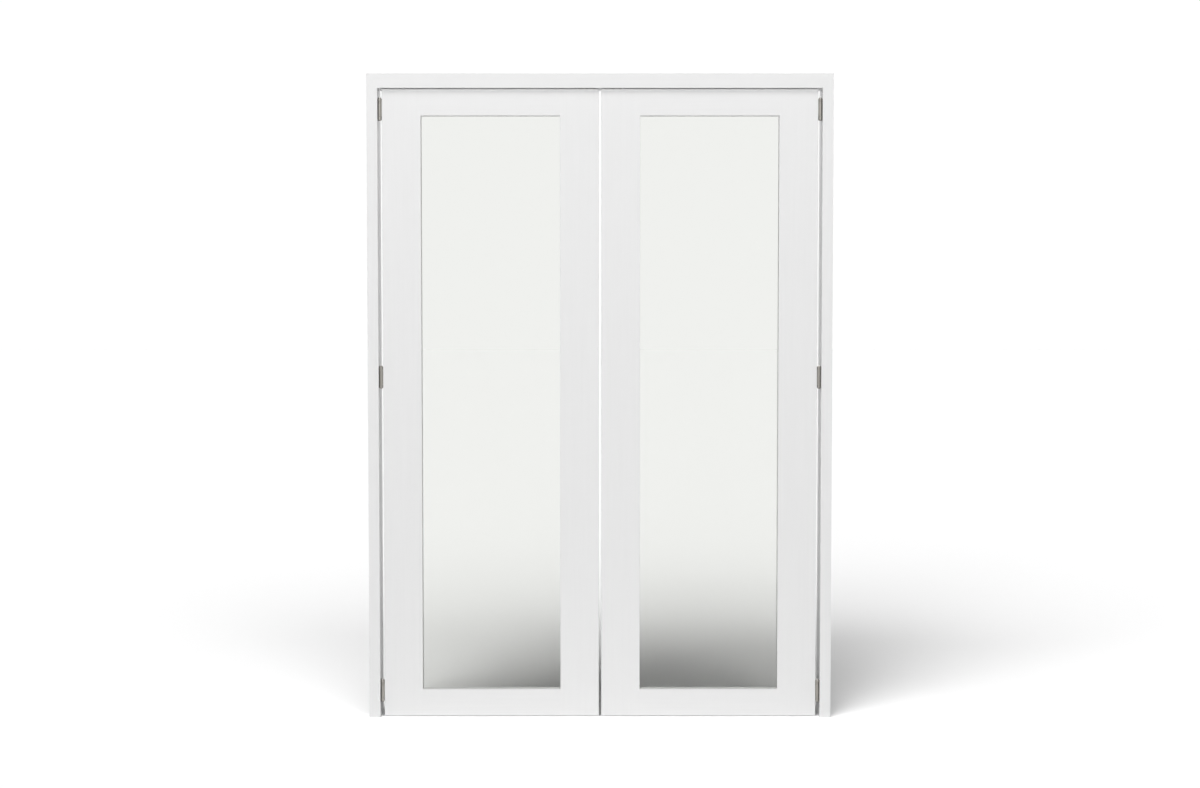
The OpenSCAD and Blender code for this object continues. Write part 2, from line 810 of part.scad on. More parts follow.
module right_catch_ball() { on_the_right() catch_ball(); }
module right_catch_spring() { on_the_right() catch_spring(); }
module right_catch_strike() { on_the_right() catch_strike(); }
module right_catch_screws() { on_the_right() catch_screws(); }

head();
left_jamb();
right_jamb();
frame_screws();
left_hinge_stile();
left_meeting_stile();
left_top_rail();
left_bottom_rail();
left_dowels();
left_glass();
left_glazing_tapes();
left_setting_blocks();
left_top_bead();
left_bottom_bead();
left_hinge_side_bead();
left_meeting_side_bead();
left_bead_pins();
right_hinge_stile();
right_meeting_stile();
right_top_rail();
right_bottom_rail();
right_dowels();
right_glass();
right_glazing_tapes();
right_setting_blocks();
right_top_bead();
right_bottom_bead();
right_hinge_side_bead();
right_meeting_side_bead();
right_bead_pins();
left_top_jamb_plate();
left_top_leaf_plate();
left_middle_jamb_plate();
left_middle_leaf_plate();
left_bottom_jamb_plate();
left_bottom_leaf_plate();
left_hinge_pins();
left_leaf_plate_screws();
right_top_jamb_plate();
right_top_leaf_plate();
right_middle_jamb_plate();
right_middle_leaf_plate();
right_bottom_jamb_plate();
right_bottom_leaf_plate();
right_hinge_pins();
right_leaf_plate_screws();
jamb_plate_screws();
left_catch_housing();
left_catch_ball();
left_catch_spring();
left_catch_strike();
left_catch_screws();
right_catch_housing();
right_catch_ball();
right_catch_spring();
right_catch_strike();
right_catch_screws();
strike_screws();
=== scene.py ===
import json
import math

import bmesh
import bpy
import numpy as np
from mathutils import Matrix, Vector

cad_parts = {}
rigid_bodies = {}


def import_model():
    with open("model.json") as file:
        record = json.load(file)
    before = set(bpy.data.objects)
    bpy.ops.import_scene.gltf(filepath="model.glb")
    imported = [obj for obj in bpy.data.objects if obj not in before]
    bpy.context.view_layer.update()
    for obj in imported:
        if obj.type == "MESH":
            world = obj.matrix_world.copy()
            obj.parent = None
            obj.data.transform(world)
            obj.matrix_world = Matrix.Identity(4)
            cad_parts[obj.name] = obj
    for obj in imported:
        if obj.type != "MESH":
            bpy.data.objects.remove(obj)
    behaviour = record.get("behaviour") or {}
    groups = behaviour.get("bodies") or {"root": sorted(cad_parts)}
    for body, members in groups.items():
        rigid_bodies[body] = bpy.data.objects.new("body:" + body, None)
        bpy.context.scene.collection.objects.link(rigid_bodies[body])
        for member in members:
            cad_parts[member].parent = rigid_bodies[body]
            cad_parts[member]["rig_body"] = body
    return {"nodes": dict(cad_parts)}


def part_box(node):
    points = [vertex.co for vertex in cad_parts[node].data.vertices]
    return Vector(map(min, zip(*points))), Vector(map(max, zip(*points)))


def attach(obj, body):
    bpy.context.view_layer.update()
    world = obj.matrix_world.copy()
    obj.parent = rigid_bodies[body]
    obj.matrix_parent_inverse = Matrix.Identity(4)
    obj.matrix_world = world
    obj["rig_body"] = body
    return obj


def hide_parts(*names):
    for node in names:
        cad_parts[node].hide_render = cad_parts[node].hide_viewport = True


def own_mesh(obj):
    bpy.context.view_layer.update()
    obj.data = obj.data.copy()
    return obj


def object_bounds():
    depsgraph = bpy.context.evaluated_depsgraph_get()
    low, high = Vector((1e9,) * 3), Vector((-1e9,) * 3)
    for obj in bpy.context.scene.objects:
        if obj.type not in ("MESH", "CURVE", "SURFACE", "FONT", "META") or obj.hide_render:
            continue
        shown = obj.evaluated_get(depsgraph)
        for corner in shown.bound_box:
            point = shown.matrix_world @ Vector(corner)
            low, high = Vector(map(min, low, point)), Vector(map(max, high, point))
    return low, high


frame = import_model()
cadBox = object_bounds()
nodes = frame["nodes"]
mm = 0.001


# sRGB hex to linear light, opaque
def tone(hexColour):
    channels = [int(hexColour[i:i + 2], 16) / 255 for i in (1, 3, 5)]
    return tuple(c / 12.92 if c <= 0.04045 else ((c + 0.055) / 1.055) ** 2.4 for c in channels) + (1.0,)


# one node with its settings; each link is input: (other node, its output)
def addNode(tree, kind, settings=(), links=()):
    node = tree.nodes.new(kind)
    for name, value in dict(settings).items():
        if isinstance(name, str) and hasattr(node, name):
            setattr(node, name, value)
        else:
            node.inputs[name].default_value = value
    for name, (other, output) in dict(links).items():
        tree.links.new(other.outputs[output], node.inputs[name])
    return node


# an empty node tree for a material
def startMaterial(name):
    material = bpy.data.materials.new(name)
    material.use_nodes = True
    tree = material.node_tree
    tree.nodes.clear()
    return material, tree


def endMaterial(tree, shader):
    addNode(tree, "ShaderNodeOutputMaterial", links={"Surface": (shader, "BSDF")})


# a noise over the piece's own coordinates, with a scale for each axis
def addNoise(tree, scale, detail, grain=0.5):
    coordinates = addNode(tree, "ShaderNodeTexCoord")
    placed = addNode(tree, "ShaderNodeMapping", {"Scale": scale}, {"Vector": (coordinates, "Object")})
    return addNode(tree, "ShaderNodeTexNoise", {"Scale": 1.0, "Detail": detail, "Roughness": grain},
                   {"Vector": (placed, "Vector")})


# one colour running into another as a pattern goes from 0 to 1
def mixTones(tree, first, second, pattern):
    return addNode(tree, "ShaderNodeMix", {"data_type": "RGBA", 6: tone(first), 7: tone(second)},
                   {0: (pattern, 0)})


# a roughness that follows a pattern from one value to another
def mixGloss(tree, ends, pattern):
    return addNode(tree, "ShaderNodeMapRange", {"To Min": ends[0], "To Max": ends[1]},
                   {"Value": (pattern, 0)})


# a pattern raised off the surface, over an earlier bump if there is one
def addBump(tree, strength, height, pattern, earlier=None):
    links = {"Height": (pattern, 0)}
    if earlier:
        links["Normal"] = (earlier, 0)
    return addNode(tree, "ShaderNodeBump", {"Strength": strength, "Distance": height}, links)


# standing eye height, far enough back to take in the whole frame
cameraSettings = {"height": 1.315, "distance": 5.850, "lens": 54.38, "pitchDown": 2.553, "sensor": 36.0}

frameFront = cadBox[0].y
cameraData = bpy.data.cameras.new("camera")
cameraData.lens = cameraSettings["lens"]
cameraData.sensor_width = cameraSettings["sensor"]
camera = bpy.data.objects.new("camera", cameraData)
camera.location = (0, frameFront - cameraSettings["distance"], cameraSettings["height"])
camera.rotation_euler = (math.radians(90 - cameraSettings["pitchDown"]), 0, 0)
bpy.context.scene.collection.objects.link(camera)
bpy.context.scene.camera = camera


# satin water-based paint, rolled and laid off along the timber over a primed and sanded board: an even
# soft white, with long lay-off streaks too faint to see but in the gloss, and a fine stipple
satinPaint = {"colour": "#e6e6e6", "shade": "#e2e2e2", "roughness": (0.40, 0.48), "ior": 1.5,
              "streakWidth": 9 * mm, "streakStretch": 30, "streakHeight": 0.03 * mm,
              "streakDetail": 3.0, "streakGrain": 0.55,
              "stipple": 1.6 * mm, "stippleHeight": 0.02 * mm, "stippleDetail": 2.0, "bumpStrength": 0.6}


def makePaint(name, along):
    material, tree = startMaterial(name)
    streakScale = [1 / satinPaint["streakWidth"]] * 3
    streakScale[along] /= satinPaint["streakStretch"]
    streaks = addNoise(tree, streakScale, satinPaint["streakDetail"], satinPaint["streakGrain"])
    stipple = addNoise(tree, [1 / satinPaint["stipple"]] * 3, satinPaint["stippleDetail"])
    colour = mixTones(tree, satinPaint["colour"], satinPaint["shade"], streaks)
    gloss = mixGloss(tree, satinPaint["roughness"], streaks)
    raised = addBump(tree, satinPaint["bumpStrength"], satinPaint["streakHeight"], streaks)
    pitted = addBump(tree, satinPaint["bumpStrength"], satinPaint["stippleHeight"], stipple, raised)
    shader = addNode(tree, "ShaderNodeBsdfPrincipled", {"IOR": satinPaint["ior"]},
                     {"Base Color": (colour, 2), "Roughness": (gloss, 0), "Normal": (pitted, 0)})
    endMaterial(tree, shader)
    return material


# toughened float glass: clear with a faint even grey, and the long shallow waves that the furnace
# rollers leave, which run across the pane
floatGlass = {"colour": "#edeeeb", "ior": 1.52, "rollerWave": 300 * mm, "waveStretch": 0.3,
              "waveHeight": 0.02 * mm, "bumpStrength": 0.3}


def makeGlass():
    material, tree = startMaterial("toughenedGlass")
    size = 1 / floatGlass["rollerWave"]
    waves = addNoise(tree, (size * floatGlass["waveStretch"], size, size), 0.0)
    bent = addBump(tree, floatGlass["bumpStrength"], floatGlass["waveHeight"], waves)
    shader = addNode(tree, "ShaderNodeBsdfPrincipled",
                     {"Base Color": tone(floatGlass["colour"]), "IOR": floatGlass["ior"], "Roughness": 0.0,
                      "Transmission Weight": 1.0}, {"Normal": (bent, 0)})
    endMaterial(tree, shader)
    return material


# plated and polished metals: two close colours, roughness range, and the marks that the finishing
# left, with their width, how far they are drawn out along Z and their depth
metals = {
    "satinNickelSteel": {"colour": "#a9a6a0", "worn": "#8e8b86", "roughness": (0.28, 0.42),
                         "mark": 0.5 * mm, "stretch": 14, "depth": 0.01 * mm},
    "zincPlatedSteel": {"colour": "#a7a8a6", "worn": "#8f9190", "roughness": (0.3, 0.45),
                        "mark": 0.8 * mm, "stretch": 1, "depth": 0.01 * mm},
    "satinNickelBrass": {"colour": "#bdb9b1", "worn": "#a39f98", "roughness": (0.3, 0.42),
                         "mark": 0.5 * mm, "stretch": 6, "depth": 0.01 * mm},
    "springWire": {"colour": "#8b8c8c", "worn": "#6f7071", "roughness": (0.22, 0.36),
                   "mark": 0.4 * mm, "stretch": 1, "depth": 0.006 * mm},
    "polishedBallSteel": {"colour": "#c4c5c6", "worn": "#b6b7b8", "roughness": (0.08, 0.16),
                          "mark": 1.5 * mm, "stretch": 1, "depth": 0.001 * mm},
}
metalMarks = {"detail": 2.0, "bumpStrength": 0.4}  # the same on every metal


def makeMetal(name):
    kind = metals[name]
    material, tree = startMaterial(name)
    size = 1 / kind["mark"]
    marks = addNoise(tree, (size, size, size / kind["stretch"]), metalMarks["detail"])
    colour = mixTones(tree, kind["colour"], kind["worn"], marks)
    gloss = mixGloss(tree, kind["roughness"], marks)
    scored = addBump(tree, metalMarks["bumpStrength"], kind["depth"], marks)
    shader = addNode(tree, "ShaderNodeBsdfPrincipled", {"Metallic": 1.0},
                     {"Base Color": (colour, 2), "Roughness": (gloss, 0), "Normal": (scored, 0)})
    endMaterial(tree, shader)
    return material


# steamed beech, turned and fluted: a warm pinkish tan with short darker rays along the grain, which
# runs along X in a dowel
beechWood = {"pale": "#d2ab82", "dark": "#a9794f", "roughness": 0.62, "fibre": 0.8 * mm, "stretch": 16,
             "detail": 4.0, "grain": 0.6, "depth": 0.05 * mm, "bumpStrength": 0.5}


def makeBeech():
    material, tree = startMaterial("steamedBeech")
    size = 1 / beechWood["fibre"]
    rays = addNoise(tree, (size / beechWood["stretch"], size, size),
                    beechWood["detail"], beechWood["grain"])
    colour = mixTones(tree, beechWood["pale"], beechWood["dark"], rays)
    fibres = addBump(tree, beechWood["bumpStrength"], beechWood["depth"], rays)
    shader = addNode(tree, "ShaderNodeBsdfPrincipled", {"Roughness": beechWood["roughness"]},
                     {"Base Color": (colour, 2), "Normal": (fibres, 0)})
    endMaterial(tree, shader)
    return material


# soft goods of the glazing: closed-cell polyethylene foam tape, dull and slightly pebbled by its cells,
# and moulded EPDM rubber blocks, near black with a dusty bloom
glazingSofts = {
    "foamTape": {"colour": "#dcdbd6", "bloom": "#cfcec8", "roughness": 0.85,
                 "cell": 0.5 * mm, "depth": 0.08 * mm, "bumpStrength": 0.5},
    "blockRubber": {"colour": "#1d1e1f", "bloom": "#303132", "roughness": 0.7,
                    "cell": 0.3 * mm, "depth": 0.02 * mm, "bumpStrength": 0.5},
}


def makeSoft(name):
    kind = glazingSofts[name]
    material, tree = startMaterial(name)
    coordinates = addNode(tree, "ShaderNodeTexCoord")
    cells = addNode(tree, "ShaderNodeTexVoronoi", {"Scale": 1 / kind["cell"]},
                    {"Vector": (coordinates, "Object")})
    colour = mixTones(tree, kind["colour"], kind["bloom"], cells)
    pebbles = addBump(tree, kind["bumpStrength"], kind["depth"], cells)
    shader = addNode(tree, "ShaderNodeBsdfPrincipled", {"Roughness": kind["roughness"]},
                     {"Base Color": (colour, 2), "Normal": (pebbles, 0)})
    endMaterial(tree, shader)
    return material


paintUpright = makePaint("satinPaintUpright", 2)  # laid off along Z: jambs, stiles, upright beads
paintLevel = makePaint("satinPaintLevel", 0)      # laid off along X: head, rails, level beads
glassMaterial = makeGlass()
metalMaterials = {name: makeMetal(name) for name in metals}
beechMaterial = makeBeech()
softMaterials = {name: makeSoft(name) for name in glazingSofts}
print("materials made:", len(bpy.data.materials))


sharpAngle = 35  # degrees: an edge that turns by more stays crisp
oneMicron = 0.001 * mm  # points of a CAD mesh that are this close are one


# the loose solids of a CAD node, each as its array of points, from low to high
def solidsOf(node):
    mesh = bmesh.new()
    mesh.from_mesh(nodes[node].data)
    bmesh.ops.remove_doubles(mesh, verts=mesh.verts, dist=oneMicron)
    left = set(mesh.verts)
    found = []
    while left:
        reached = [left.pop()]
        for vertex in reached:
            fresh = {edge.other_vert(vertex) for edge in vertex.link_edges} & left
            left -= fresh
            reached.extend(fresh)
        found.append(np.array([vertex.co for vertex in reached]))
    mesh.free()
    return sorted(found, key=lambda points: [round(value, 6) for value in points.min(0)])


# quads between neighbouring rings of points, and a fan that closes each end on its middle
def skinRings(rings):
    rows, around = rings.shape[:2]
    row, column = np.meshgrid(np.arange(rows - 1), np.arange(around), indexing="ij")
    beside = (column + 1) % around
    quads = np.stack([row * around + column, row * around + beside,
                      (row + 1) * around + beside, (row + 1) * around + column], -1).reshape(-1, 4)
    first, last = rows * around, rows * around + 1
    ring, nextOne = np.arange(around), (np.arange(around) + 1) % around
    start = np.stack([nextOne, ring, np.full(around, first)], -1)
    end = np.stack([ring + (rows - 1) * around, nextOne + (rows - 1) * around, np.full(around, last)], -1)
    points = np.vstack([rings.reshape(-1, 3), rings[0].mean(0), rings[-1].mean(0)])
    return points, quads.tolist() + start.tolist() + end.tolist()


# a piece from several closed skins: points that meet are merged, and every face is turned outwards
def makePiece(name, skins, material, body, replaced, sharp=sharpAngle):
    points, faces, count = [], [], 0
    for skinPoints, skinFaces in skins:
        points.append(skinPoints)
        faces += [[index + count for index in face] for face in skinFaces]
        count += len(skinPoints)
    mesh = bpy.data.meshes.new(name)
    mesh.from_pydata(np.vstack(points).tolist(), [], faces)
    work = bmesh.new()
    work.from_mesh(mesh)
    bmesh.ops.remove_doubles(work, verts=work.verts, dist=oneMicron / 10)
    bmesh.ops.recalc_face_normals(work, faces=work.faces)
    work.to_mesh(mesh)
    work.free()
    return finishPiece(name, mesh, material, body, replaced, sharp)


def finishPiece(name, mesh, material, body, replaced, sharp):
    mesh.materials.append(material)
    mesh.shade_smooth()
    mesh.set_sharp_from_angle(angle=math.radians(sharp))
    piece = bpy.data.objects.new(name, mesh)
    bpy.context.scene.collection.objects.link(piece)
    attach(piece, body)
    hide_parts(replaced)
    return piece


# how a stamped or cast metal part is softened: faces within flatWithin degrees count as one flat, and
# flatWeight keeps the shading of the flats level up to the rounding
softening = {"flatWithin": 0.5, "segments": 2, "flatWeight": 100}


# a merged copy of a CAD node, its flats joined up, with a fine rounding along every sharp edge
def softenedCopy(node, material, body, rounding):
    mesh = bpy.data.meshes.new(node + "_softened")
    work = bmesh.new()
    work.from_mesh(nodes[node].data)
    bmesh.ops.remove_doubles(work, verts=work.verts, dist=oneMicron)
    bmesh.ops.dissolve_limit(work, angle_limit=math.radians(softening["flatWithin"]),
                             verts=work.verts, edges=work.edges)
    work.to_mesh(mesh)
    work.free()
    piece = finishPiece(node + "_softened", mesh, material, body, node, sharpAngle)
    bevel = piece.modifiers.new("rounding", "BEVEL")
    bevel.width = rounding
    bevel.segments = softening["segments"]
    bevel.limit_method = "ANGLE"
    bevel.angle_limit = math.radians(sharpAngle)
    bevel.harden_normals = True
    flats = piece.modifiers.new("flats", "WEIGHTED_NORMAL")
    flats.weight = softening["flatWeight"]
    flats.keep_sharp = True
    return piece


# how a solid of revolution lies: its corners, its long axis, the two axes across, and how far its
# points reach from the middle at the low and at the high end
def lieOf(solid):
    low, high = solid.min(0), solid.max(0)
    axis = int(np.argmax(high - low))
    across = [(axis + 1) % 3, (axis + 2) % 3]
    middle = (low + high) / 2
    reach = [np.abs(solid[np.isclose(solid[:, axis], end, atol=oneMicron)] - middle)[:, across].max()
             for end in (low[axis], high[axis])]
    return low, high, axis, across, reach


# local points, with Z up out of the wider end and 0 there, set along the axis of a solid
def setOnSolid(local, solid):
    low, high, axis, across, reach = lieOf(solid)
    headUp = reach[1] >= reach[0]
    first, second = across if headUp else across[::-1]
    placed = np.empty_like(local)
    placed[..., first] = local[..., 0]
    placed[..., second] = local[..., 1]
    placed[..., axis] = local[..., 2] if headUp else -local[..., 2]
    placed[..., across] += ((low + high) / 2)[across]
    placed[..., axis] += high[axis] if headUp else low[axis]
    return placed


# length, head width and end width of a solid of revolution
def measure(solid):
    low, high, axis, _, reach = lieOf(solid)
    return (high - low)[axis], 2 * max(reach), 2 * min(reach)


# rings about Z, from a radius and a height for each row, either of which may change over the angle
def turned(radii, heights, around):
    angle = np.linspace(0, 2 * np.pi, around, endpoint=False)
    radius = np.broadcast_to(np.asarray(radii, float).reshape(len(radii), -1), (len(radii), around))
    height = np.broadcast_to(np.asarray(heights, float).reshape(len(heights), -1), (len(heights), around))
    return np.stack([radius * np.cos(angle), radius * np.sin(angle), height], -1)


def bodyOf(node):
    return nodes[node]["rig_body"]


def finishNode(node, material):
    for slot in nodes[node].material_slots:
        slot.material = material


for node in nodes:
    if node.endswith(("jamb", "stile")):
        finishNode(node, paintUpright)
    elif node == "head" or node.endswith("rail"):
        finishNode(node, paintLevel)
print("timber painted")


# a wood screw is one skin from its gimlet point to the floor of its cross recess; each profile has
# pairs of a share of the way out and a share of the way down
screwForm = {
    "around": 24, "rowsPerTurn": 6,
    "threadShare": 0.62,  # of the length
    "pitchShare": 0.42, "coreShare": 0.66, "plainShare": 0.92, "pointLength": 1.4,  # of the shank's width
    "ridgeWidth": 0.32, "runOut": (0.2, 1.2),  # in pitches
    "pointTip": 0.04,  # what is left of the thickness at the very point
    "headHeight": 0.25, "underHead": 0.05,  # of the head's width
    "rimProfile": ((0.98, 0.06), (1.0, 0.03), (0.97, 0.0)),  # of the head's radius and of its width
    "recessReach": 0.30, "recessHalfWidth": 0.075,  # of the head's width
    "recessDepthShare": 0.75,  # of the head's height
    "recessProfile": ((1.05, 0.0), (0.95, 0.15), (0.55, 1.0)),  # of the cross and of the recess depth
    "leastSine": 0.02,  # so that no arm of the cross divides by nothing
}


# radius = core plus a ridge where (height / pitch - angle / turn) is near a half; above the thread a
# plain shank, the cone of the head, its rim, then the outline of a cross: reach / cos or width / sin,
# whichever is less, taken down to the recess floor
def screwSkin(solid):
    length, headWidth, shankWidth = measure(solid)
    around = screwForm["around"]
    pitch = screwForm["pitchShare"] * shankWidth
    headHeight = screwForm["headHeight"] * headWidth
    angle = np.linspace(0, 2 * np.pi, around, endpoint=False)[None, :]
    threadRows = int(screwForm["rowsPerTurn"] * screwForm["threadShare"] * length / pitch)
    height = np.linspace(-length, -(1 - screwForm["threadShare"]) * length, threadRows)[:, None]
    phase = (height / pitch - angle / (2 * np.pi)) % 1
    ridge = np.clip(1 - np.abs(phase - 0.5) / screwForm["ridgeWidth"], 0, 1)
    core = screwForm["coreShare"] * shankWidth / 2
    point = np.clip((height + length) / (screwForm["pointLength"] * shankWidth), screwForm["pointTip"], 1)
    runOut = np.clip((height[-1] - height) / pitch, 0, 1)
    thread = point * (core + (shankWidth / 2 - core) * ridge * runOut)
    arm = np.abs((angle + np.pi / 4) % (np.pi / 2) - np.pi / 4)
    sine = np.maximum(np.sin(arm), screwForm["leastSine"])
    cross = headWidth * np.minimum(screwForm["recessReach"] / np.cos(arm),
                                   screwForm["recessHalfWidth"] / sine)
    plain = screwForm["plainShare"] * shankWidth / 2
    swell = height[-1, 0] + np.array(screwForm["runOut"]) * pitch
    rimOut, rimDown = np.array(screwForm["rimProfile"]).T
    body = turned([core, plain, plain, *(rimOut * headWidth / 2)],
                  [*swell, -headHeight - screwForm["underHead"] * headWidth, *(-rimDown * headWidth)],
                  around)
    recessOut, recessDown = np.array(screwForm["recessProfile"]).T
    floorDepth = screwForm["recessDepthShare"] * headHeight
    recess = turned(recessOut[:, None] * cross, -recessDown * floorDepth, around)
    rings = np.concatenate([turned(thread, height, around), body, recess])
    return skinRings(setOnSolid(rings, solid))


for node in [name for name in nodes if name.endswith("screws")]:
    makePiece(node + "_threaded", [screwSkin(solid) for solid in solidsOf(node)],
              metalMaterials["zincPlatedSteel" if "frame" in node else "satinNickelSteel"],
              bodyOf(node), node)
print("screws threaded")


# steel butt hinges: stamped plates with a soft burr-free edge, and a pin with a necked dome at each end
hingeForm = {"plateRounding": 0.35 * mm, "rod": 2.5 * mm, "pinAround": 32,
             "domeHeight": 3.2 * mm, "domeRows": 9, "domeTip": 0.04,
             "lipShare": 0.96, "lipDrop": 0.08 * mm,
             "neckShare": 0.78, "neckDrop": 0.12 * mm, "neckHeight": 0.6 * mm}

for node in [name for name in nodes if name.endswith(("jamb_plate", "leaf_plate"))]:
    softenedCopy(node, metalMaterials["satinNickelSteel"], bodyOf(node),
                 hingeForm["plateRounding"])


# turned profile: a dome, a quarter ellipse down to its base, then a neck, half of the plain rod, and
# the same upside down
def pinSkin(solid):
    low, high = solid.min(0), solid.max(0)
    half, radius = (high[2] - low[2]) / 2, (high[0] - low[0]) / 2
    share = np.linspace(hingeForm["domeTip"], 1, hingeForm["domeRows"])
    base = half - hingeForm["domeHeight"]
    neck, neckEnd = radius * hingeForm["neckShare"], base - hingeForm["neckHeight"]
    lipHeight, neckStart = base - hingeForm["lipDrop"], base - hingeForm["neckDrop"]
    radii = np.concatenate([radius * share, [radius * hingeForm["lipShare"], neck, neck, hingeForm["rod"]]])
    heights = np.concatenate([half - hingeForm["domeHeight"] * (1 - np.cos(np.arcsin(share))),
                              [lipHeight, neckStart, neckEnd, neckEnd]])
    rings = turned(np.concatenate([radii, radii[::-1]]), np.concatenate([heights, -heights[::-1]]),
                   hingeForm["pinAround"])
    return skinRings(rings + (low + high) / 2)


for node in [name for name in nodes if name.endswith("hinge_pins")]:
    makePiece(node + "_turned", [pinSkin(solid) for solid in solidsOf(node)],
              metalMaterials["satinNickelSteel"], bodyOf(node), node)
print("hinges made")


# one toughened pane a leaf, its edges ground to a small arris and its corners just dubbed
paneForm = {"arris": 0.8 * mm, "corner": 2.5 * mm, "cornerSteps": 5, "sharpAngle": 25}


# outline of a rectangle with round corners: each corner is its centre plus radius times (cos, sin)
def roundedOutline(low, high, radius, steps):
    quarter = np.linspace(0, np.pi / 2, steps)
    corners = [(high[0], high[1], 1, 1, 0), (low[0], high[1], -1, 1, 1), (low[0], low[1], -1, -1, 2),
               (high[0], low[1], 1, -1, 3)]
    points = [np.stack([x - wayX * radius + radius * np.cos(quarter + turn * np.pi / 2),
                        y - wayY * radius + radius * np.sin(quarter + turn * np.pi / 2)], -1)
              for x, y, wayX, wayY, turn in corners]
    return np.concatenate(points)


# rings of that outline through the thickness, drawn in by the arris at the first and the last
def paneSkin(solid):
    low, high = solid.min(0), solid.max(0)
    arris = paneForm["arris"]
    rings = []
    for depth, inset in ((low[1], arris), (low[1] + arris, 0), (high[1] - arris, 0), (high[1], arris)):
        outline = roundedOutline((low[0] + inset, low[2] + inset), (high[0] - inset, high[2] - inset),
                                 paneForm["corner"], paneForm["cornerSteps"])
        rings.append(np.stack([outline[:, 0], np.full(len(outline), depth), outline[:, 1]], -1))
    return skinRings(np.array(rings))


softForm = {"tapeRounding": 0.3 * mm, "blockRounding": 0.8 * mm, "steps": 4, "leastCorner": 0.2}


# a soft bar: a rounded section carried along the longest side; towards each end it is drawn in by
# radius * (1 - sin t) while its place runs over radius * (1 - cos t)
def softBar(solid, radius):
    steps = softForm["steps"]
    low, high = solid.min(0), solid.max(0)
    axis = int(np.argmax(high - low))
    a, b = (axis + 1) % 3, (axis + 2) % 3
    turn = np.linspace(0, np.pi / 2, steps)
    fromEnd, inset = radius * (1 - np.cos(turn)), radius * (1 - np.sin(turn))
    along = np.concatenate([low[axis] + fromEnd, (high[axis] - fromEnd)[::-1]])
    rings = []
    for place, drawn in zip(along, np.concatenate([inset, inset[::-1]])):
        outline = roundedOutline((low[a] + drawn, low[b] + drawn), (high[a] - drawn, high[b] - drawn),
                                 max(radius - drawn, softForm["leastCorner"] * radius), steps)
        ring = np.empty((len(outline), 3))
        ring[:, a], ring[:, b], ring[:, axis] = outline[:, 0], outline[:, 1], place
        rings.append(ring)
    return skinRings(np.array(rings))


# the strips of tape on both faces of a pane: long ones full height, short ones between them
def tapeStrips(side):
    low, high = (np.array(corner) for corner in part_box(side + "_glazing_tapes"))
    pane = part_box(side + "_glass")
    width = min(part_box(side + "_" + name + "_side_bead")[1].x for name in ("hinge", "meeting")) - low[0]
    strips = []
    for front, back in ((low[1], pane[0].y), (pane[1].y, high[1])):
        for left, right, bottom, top in ((low[0], low[0] + width, low[2], high[2]),
                                         (high[0] - width, high[0], low[2], high[2]),
                                         (low[0] + width, high[0] - width, low[2], low[2] + width),
                                         (low[0] + width, high[0] - width, high[2] - width, high[2])):
            strips.append(np.array([(left, front, bottom), (right, back, top)]))
    return strips


# pinned glazing bead: a square section with its sight edge eased, an arris against the glass and its
# outer corner on the seat just broken; both ends are mitred, so each point of the section starts
# further along by its own height off the seat
beadForm = {"eased": 1.5 * mm, "glassArris": 0.3 * mm, "broken": 0.5 * mm, "steps": 6, "mitreGap": 0.1 * mm}


def beadSkin(node):
    low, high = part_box(node)
    long = 2 if "side" in node else 0
    height = 0 if "side" in node else 2
    glassLow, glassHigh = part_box(node.split("_")[0] + "_glass")
    towards = 1 if (glassLow[height] + glassHigh[height]) / 2 > low[height] else -1
    seat = low[height] if towards > 0 else high[height]
    rise, deep = high[height] - low[height], high[1] - low[1]
    eased, arris, broken = beadForm["eased"], beadForm["glassArris"], beadForm["broken"]
    arc = np.linspace(0, np.pi / 2, beadForm["steps"])
    # section as (height above the seat, depth from the glass)
    section = np.concatenate([
        [[0, 0], [rise - arris, 0], [rise, arris]],
        np.stack([rise - eased + eased * np.cos(arc), deep - eased + eased * np.sin(arc)], -1),
        [[broken, deep], [0, deep - broken]]])
    rings = []
    for end, way in ((low[long], 1), (high[long], -1)):
        ring = np.empty((len(section), 3))
        ring[:, height] = seat + towards * section[:, 0]
        ring[:, 1] = low[1] + section[:, 1]
        ring[:, long] = end + way * (section[:, 0] + beadForm["mitreGap"])
        rings.append(ring)
    return skinRings(np.array(rings))


for side in ("left", "right"):
    leaf = side + "_leaf"
    makePiece(side + "_pane", [paneSkin(solid) for solid in solidsOf(side + "_glass")],
              glassMaterial, leaf, side + "_glass", sharp=paneForm["sharpAngle"])
    makePiece(side + "_tape_strips",
              [softBar(strip, softForm["tapeRounding"]) for strip in tapeStrips(side)],
              softMaterials["foamTape"], leaf, side + "_glazing_tapes")
    makePiece(side + "_rubber_blocks",
              [softBar(solid, softForm["blockRounding"]) for solid in solidsOf(side + "_setting_blocks")],
              softMaterials["blockRubber"], leaf, side + "_setting_blocks")
    for place in ("top", "bottom", "hinge_side", "meeting_side"):
        node = side + "_" + place + "_bead"
        makePiece(node + "_mitred", [beadSkin(node)], paintUpright if "side" in place else paintLevel, leaf,
                  node)
print("glazing made")


# multi-grooved beech dowels: radius = plain radius less a narrow groove at each flute, ends chamfered
dowelForm = {"flutes": 16, "fluteDepth": 0.35 * mm, "perFlute": 4, "chamfer": 1.2 * mm, "sharpAngle": 50}


def dowelSkin(solid):
    length, width, _ = measure(solid)
    around = dowelForm["flutes"] * dowelForm["perFlute"]
    angle = np.linspace(0, 2 * np.pi, around, endpoint=False)
    groove = np.clip(np.cos(dowelForm["flutes"] * angle), 0, 1)
    full = width / 2 - dowelForm["fluteDepth"] * groove
    chamfer = dowelForm["chamfer"]
    rings = turned(np.stack([full - chamfer, full, full, full - chamfer]),
                   [-length, chamfer - length, -chamfer, 0], around)
    return skinRings(setOnSolid(rings, solid))


